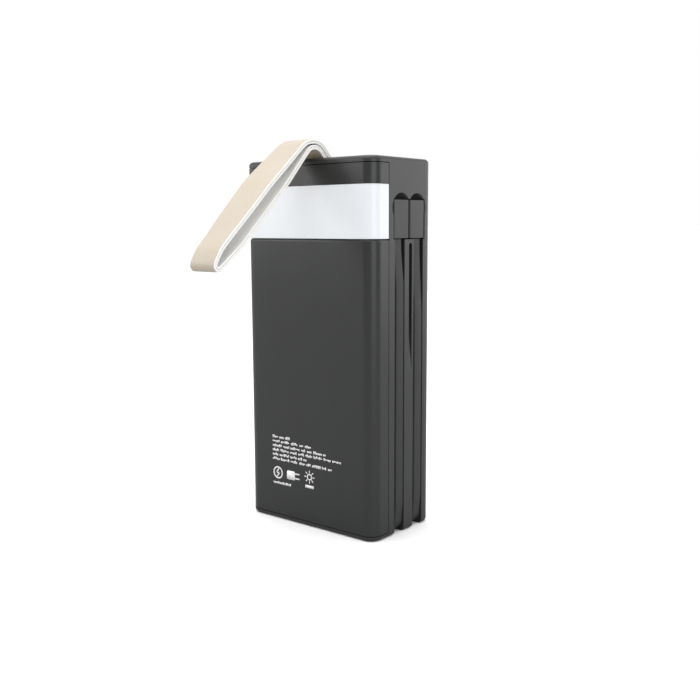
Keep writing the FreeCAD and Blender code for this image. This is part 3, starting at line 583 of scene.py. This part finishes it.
outline = rounded_route(corners, bends, PLY_STEP, closed=True)
outline = eased(outline, 6, lambda p: min(max(((p - pin).length - 6) / 8, 0), 1))


def twist(here, inward):
    """How far one edge of the upper band sinks, and the other lifts, part of the way down it."""
    along = max(0.0, min(1.0, (CREST_Y - TWIST_FROM - here.x) / TWIST_RUN))
    return STRAP_TWIST * math.sin(math.pi * along) if inward.y < 0 else 0.0


def strap_ply(name, depth, thick, looks, crown):
    """One ply of the strap's closed loop, from depth to depth + thick inside the outline."""
    section = rounded_section(STRAP_W / 2, thick / 2, PLY_ROUND)
    fine = []
    for (x0, t0), (x1, _) in zip(section, section[1:] + section[:1]):
        fine.append((x0, t0))
        if abs(x1 - x0) > 2:
            fine += [(x0 + (x1 - x0) * k / 6, t0) for k in range(1, 6)]
    sides = []
    for (x0, _), (x1, _) in zip(fine, fine[1:] + fine[:1]):
        sides.append(1 if min(abs(x0), abs(x1)) > STRAP_W / 2 - CUT_EDGE else 0)
    rings = []
    count = len(outline)
    for i, here in enumerate(outline):
        way = (outline[(i + 1) % count] - outline[i - 1]).normalized()
        inward = Vector((-way.y, way.x))
        ring = []
        for x, t in fine:
            bulge = crown * (1 - (2 * x / STRAP_W) ** 2)
            sink = twist(here, inward) * 2 * x / STRAP_W
            place = here + inward * (depth + thick / 2 + t - bulge + sink)
            ring.append((x, place.x, place.y))
        rings.append(ring)
    mesh = bmesh.new()
    skin(mesh, rings, True, sides)
    piece = new_piece(name, mesh, looks)
    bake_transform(piece)
    return piece


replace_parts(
    strap_ply("strap_outer_ply", 0.0, OUTER_T, ["leather", "strap_edge"], 0.05),
    "strap_root_leather",
    "strap_loop_leather",
)
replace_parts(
    strap_ply("strap_inner_ply", OUTER_T + PLY_GAP, INNER_T, ["lining", "strap_edge"], 0.05),
    "strap_root_lining",
    "strap_loop_lining",
)


# ---- built-in cables ----
def flat_sheath(name, node, crosses_at):
    """A flat cable that lies against one wall of its channel, then crosses to the other."""
    low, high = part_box(node)
    middle = (low.y + high.y) / 2 / MM
    corners = [
        (CABLE_X, PLUG_Z0 - CABLE_END_GAP),
        (CABLE_X, CABLE_Z),
        (CABLE_EXIT_X, CABLE_Z),
        (CABLE_EXIT_X, CABLE_EXIT_Z),
    ]
    route = rounded_route(corners, CABLE_BENDS, CABLE_STEP)
    section = rounded_section(CABLE_W / 2 - CABLE_SIDE_GAP, CABLE_T / 2, CABLE_ROUND, 5)
    top = PLUG_Z0 - 1
    rings = []
    for i, here in enumerate(route):
        way = (route[min(i + 1, len(route) - 1)] - route[max(i - 1, 0)]).normalized()
        out = Vector((-way.y, way.x))
        crossed = smooth((top - here.y) / (top - crosses_at))
        lean = CABLE_PLAY * (2 * crossed - 1) * smooth((here.x - CABLE_EXIT_X - 1) / 9)
        rise = CABLE_RISE * crossed * smooth((here.y - 5) / 8)
        ring = []
        for w, t in section:
            ring.append(
                (here.x + out.x * (t + rise), middle + lean + w, here.y + out.y * (t + rise))
            )
        rings.append(ring)
    mesh = bmesh.new()
    skin(mesh, rings, False)
    piece = new_piece(name, mesh, ["cable_sheath"])
    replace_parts(piece, node)
    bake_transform(piece)


flat_sheath("usb_c_sheath", "usb_c_cable", 98.0)
flat_sheath("eight_pin_sheath", "eight_pin_cable", 84.0)


# ---- printed marks ----
class Print:
    """Thin printed shapes laid on one face, given by (across, height) in millimetres."""

    def __init__(self, place):
        self.mesh = bmesh.new()
        self.place = place

    def plate(self, outline):
        rings = [[self.place(u, v, t) for u, v in outline] for t in (-PRINT_T / 3, PRINT_T)]
        skin(self.mesh, rings, False)

    def bar(self, u0, u1, v0, v1, radius=0.0):
        if not radius:
            self.plate([(u0, v0), (u1, v0), (u1, v1), (u0, v1)])
            return
        half_u, half_v = (u1 - u0) / 2, (v1 - v0) / 2
        corner = rounded_section(half_u, half_v, radius)
        self.plate([(u0 + half_u + a, v0 + half_v + b) for a, b in corner])

    def stroke(self, places, width):
        for (u0, v0), (u1, v1) in zip(places, places[1:]):
            run = math.hypot(u1 - u0, v1 - v0)
            du, dv = (u1 - u0) / run * width / 2, (v1 - v0) / run * width / 2
            tail = [(u0 - du - dv, v0 - dv + du), (u0 - du + dv, v0 - dv - du)]
            self.plate(tail + [(u1 + du + dv, v1 + dv - du), (u1 + du - dv, v1 + dv + du)])

    def ring(self, u, v, radius, width, start=0.0, turn=360.0):
        steps = max(8, int(turn / 12))
        angles = [math.radians(start + turn * k / steps) for k in range(steps + 1)]
        for a, b in zip(angles, angles[1:]):
            self.plate(
                [
                    (u + r * math.cos(c), v + r * math.sin(c))
                    for r, c in ((radius, a), (radius, b), (radius - width, b), (radius - width, a))
                ]
            )


def on_front(u, v, t):
    return (u, FRONT_Y - t, v)


label = Print(on_front)
LABEL_LEFT, FIRST_ROW, ROW_PITCH = -20.0, 35.1, 1.9
LINE_ENDS = (-10.2, 3.0, 9.6, 18.0, -0.8, 12.8)
# rows of broken strokes that only look like print from afar
for row, line_end in enumerate(LINE_ENDS):
    u, v = LABEL_LEFT, FIRST_ROW - ROW_PITCH * row
    while u < line_end - 0.6:
        word_end = min(u + chance.uniform(2.2, 5.4), line_end)
        while u < word_end - 0.3:
            wide = chance.uniform(0.42, 0.78)
            tall = chance.choice((0.82, 0.82, 1.2))
            low = v + chance.choice((0.0, 0.0, 0.0, 0.25))
            label.bar(u, min(u + wide, word_end), low, v + tall)
            u += wide + 0.2
        u = word_end + 0.75
u, v = -19.8, 15.3
while u < -9.6:
    wide = chance.uniform(0.45, 0.8)
    label.bar(u, u + wide, v, v + chance.choice((0.8, 0.8, 1.1)))
    u += wide + 0.22
# a charged cell, a plug on its lead, and a lamp with rays over a level bar
label.ring(-17.1, 20.2, 2.7, 0.62)
label.stroke([(-16.7, 21.8), (-18.1, 20.1), (-16.2, 20.2), (-17.6, 18.6)], 0.55)
label.bar(-12.0, -7.4, 18.3, 22.1, 0.7)
label.stroke([(-7.0, 21.2), (-5.2, 21.2)], 0.6)
label.stroke([(-7.0, 19.2), (-5.2, 19.2)], 0.6)
SUN_U, SUN_V = 0.7, 21.2
label.ring(SUN_U, SUN_V, 1.4, 0.5)
for k in range(8):
    angle = math.radians(45 * k)
    ray = [(SUN_U + r * math.cos(angle), SUN_V + r * math.sin(angle)) for r in (1.9, 2.6)]
    label.stroke(ray, 0.4)
label.bar(-1.6, 3.0, 16.5, 17.7)
new_piece("label_marks", label.mesh, ["label_ink"], "case")

window_low, window_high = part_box("display_window")
WINDOW_MID = ((window_low.x + window_high.x) / 2 / MM, (window_low.z + window_high.z) / 2 / MM)


def on_window(u, v, t):
    return (WINDOW_MID[0] - u, window_high.y / MM + t, WINDOW_MID[1] + v)


digits = Print(on_window)
for place in (-8.2, 0.0, 8.2):
    w, h, thick = 2.3, 4.4, 0.9
    for level in (-h, 0.0, h):
        digits.stroke([(place - w + 0.7, level), (place + w - 0.7, level)], thick)
    for u in (-w, w):
        digits.stroke([(place + u, 0.8), (place + u, h - 0.7)], thick)
        digits.stroke([(place + u, -h + 0.7), (place + u, -0.8)], thick)
new_piece("display_segments", digits.mesh, ["segment_ink"], "case")

button_low, button_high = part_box("power_button")
BUTTON_MID = ((button_low.x + button_high.x) / 2 / MM, (button_low.z + button_high.z) / 2 / MM)


def on_button(u, v, t):
    return (BUTTON_MID[0] - u, button_high.y / MM + t, BUTTON_MID[1] + v)


mark = Print(on_button)
mark.ring(0, 0, 1.9, 0.4, 120, 300)
mark.stroke([(0, 0.6), (0, 2.1)], 0.4)
new_piece("button_mark", mark.mesh, ["label_ink"], "button")


# ---- contacts in the sockets and on the tips ----
def contacts(name, boxes, body, look="contact_gold", edge=0.04):
    """Small blocks with rounded edges, such as contact springs."""
    mesh = bmesh.new()
    for low, high in boxes:
        middle = [(a + b) / 2 for a, b in zip(low, high)]
        size = [b - a for a, b in zip(low, high)]
        made = bmesh.ops.create_cube(mesh, size=1.0)["verts"]
        bmesh.ops.scale(mesh, vec=size, verts=made)
        bmesh.ops.translate(mesh, vec=middle, verts=made)
    bmesh.ops.bevel(mesh, geom=mesh.edges[:], offset=edge, segments=2, affect="EDGES")
    return new_piece(name, mesh, [look], body)


def strips(node, count, wide, share, depth):
    """Boxes side by side along Z on a tongue's +Y face, from its mouth inwards."""
    low, high = (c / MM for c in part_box(node))
    pitch = (high.z - low.z) * share / max(count - 1, 1)
    start = (low.z + high.z) / 2 - pitch * (count - 1) / 2
    return [
        ((low.x + 0.5, high.y - 0.05, z - wide / 2), (low.x + depth, high.y + 0.1, z + wide / 2))
        for z in (start + pitch * k for k in range(count))
    ]


COLLAR_EDGE, COLLAR_SUNK, COLLAR_H, COLLAR_ROUND = 0.22, 0.3, 1.3, 0.2


def collar(name, tip, head, body):
    """The moulded shoulder round the root of a plug's metal tip."""
    low, high = (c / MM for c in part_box(tip))
    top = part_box(head)[1].z / MM
    edge = Vector((COLLAR_EDGE, COLLAR_EDGE, 0))
    low, high = low - edge, high + edge
    shoulder = ((*low.xy, top - COLLAR_SUNK), (*high.xy, top + COLLAR_H))
    return contacts(name, [shoulder], body, "plug_plastic", COLLAR_ROUND)


collar("usb_c_tip_collar", "usb_c_plug_tip", "usb_c_plug_head", "usb_c_plug")
collar("eight_pin_tip_collar", "eight_pin_plug_tip", "eight_pin_plug_head", "eight_pin_plug")
contacts("usb_a_contacts", strips("usb_a_port_tongue", 4, 1.1, 0.66, 8.0), "case")
contacts("usb_c_in_contacts", strips("usb_c_in_port_tongue", 12, 0.25, 0.8, 4.0), "case")
contacts("micro_usb_contacts", strips("micro_usb_port_tongue", 5, 0.4, 0.6, 3.5), "case")

# ---- floor and light ----
floor_mesh = bmesh.new()
bmesh.ops.create_grid(floor_mesh, x_segments=2, y_segments=2, size=30.0)
floor_data = bpy.data.meshes.new("floor")
floor_mesh.to_mesh(floor_data)
floor_mesh.free()
# the floor is white to the camera, but throws only part of that light back on the object
floor_look = Shade("floor")
paper = floor_look.mix(floor_look.noise(0.002), (0.93, 0.93, 0.93), (0.95, 0.95, 0.95))
floor_look.set(Base_Color=paper, Roughness=0.8, Specular_IOR_Level=0.1)
bounce = floor_look.node("ShaderNodeBsdfDiffuse", {"Color": (0.46, 0.46, 0.46, 1)}).outputs[0]
seen_or_not = floor_look.node("ShaderNodeLightPath").outputs["Is Camera Ray"]
paper_shader = floor_look.shader.outputs[0]
dim = floor_look.node("ShaderNodeMixShader", {0: seen_or_not, 1: bounce, 2: paper_shader})
floor_look.put(floor_look.tree.nodes["Material Output"].inputs["Surface"], dim.outputs[0])
floor_data.materials.append(floor_look.material)
floor = bpy.data.objects.new("floor", floor_data)
floor.location.z = -0.00005
bpy.context.scene.collection.objects.link(floor)


def softbox(name, place, target, size, radiance, colour=(1, 1, 1)):
    data = bpy.data.lights.new(name, "AREA")
    data.shape = "RECTANGLE"
    data.size, data.size_y = size
    data.energy = radiance * math.pi * size[0] * size[1]
    data.color = colour
    light = bpy.data.objects.new(name, data)
    light.location = place
    light.rotation_euler = (Vector(target) - Vector(place)).to_track_quat("-Z", "Y").to_euler()
    bpy.context.scene.collection.objects.link(light)


MIDDLE = (0, 0, 0.08)
softbox("left_front_box", (-0.97, -0.68, 0.38), MIDDLE, (0.95, 0.50), 2.4)
softbox("right_front_box", (1.02, -0.50, 0.26), MIDDLE, (0.85, 0.5), 1.9)
softbox("right_back_box", (0.66, 0.92, 0.24), MIDDLE, (0.9, 0.6), 1.45)
softbox("back_box", (-0.30, 1.15, 0.25), MIDDLE, (0.9, 0.6), 1.1)
softbox("top_box", (-0.1, -0.1, 1.1), MIDDLE, (0.9, 0.9), 2.0)

world = bpy.data.worlds.new("studio")
world.use_nodes = True
bpy.context.scene.world = world
tree = world.node_tree
tree.nodes.clear()
sky_way = tree.nodes.new("ShaderNodeTexCoord")
height = tree.nodes.new("ShaderNodeSeparateXYZ")
tree.links.new(sky_way.outputs["Generated"], height.inputs[0])
dome = tree.nodes.new("ShaderNodeMapRange")
for key, value in (("From Min", 0.0), ("From Max", 0.9), ("To Min", 0.36), ("To Max", 1.50)):
    dome.inputs[key].default_value = value
tree.links.new(height.outputs["Z"], dome.inputs["Value"])
seen = tree.nodes.new("ShaderNodeBackground")
seen.inputs["Strength"].default_value = 1.0
seen.inputs["Color"].default_value = (1, 1, 1, 1)
lit = tree.nodes.new("ShaderNodeBackground")
lit.inputs["Color"].default_value = (1, 1, 1, 1)
tree.links.new(dome.outputs["Result"], lit.inputs["Strength"])
choose = tree.nodes.new("ShaderNodeMixShader")
ray = tree.nodes.new("ShaderNodeLightPath")
tree.links.new(ray.outputs["Is Camera Ray"], choose.inputs[0])
tree.links.new(lit.outputs[0], choose.inputs[1])
tree.links.new(seen.outputs[0], choose.inputs[2])
out = tree.nodes.new("ShaderNodeOutputWorld")
tree.links.new(choose.outputs[0], out.inputs[0])

bpy.context.scene.view_settings.view_transform = "Standard"

bpy.context.view_layer.update()
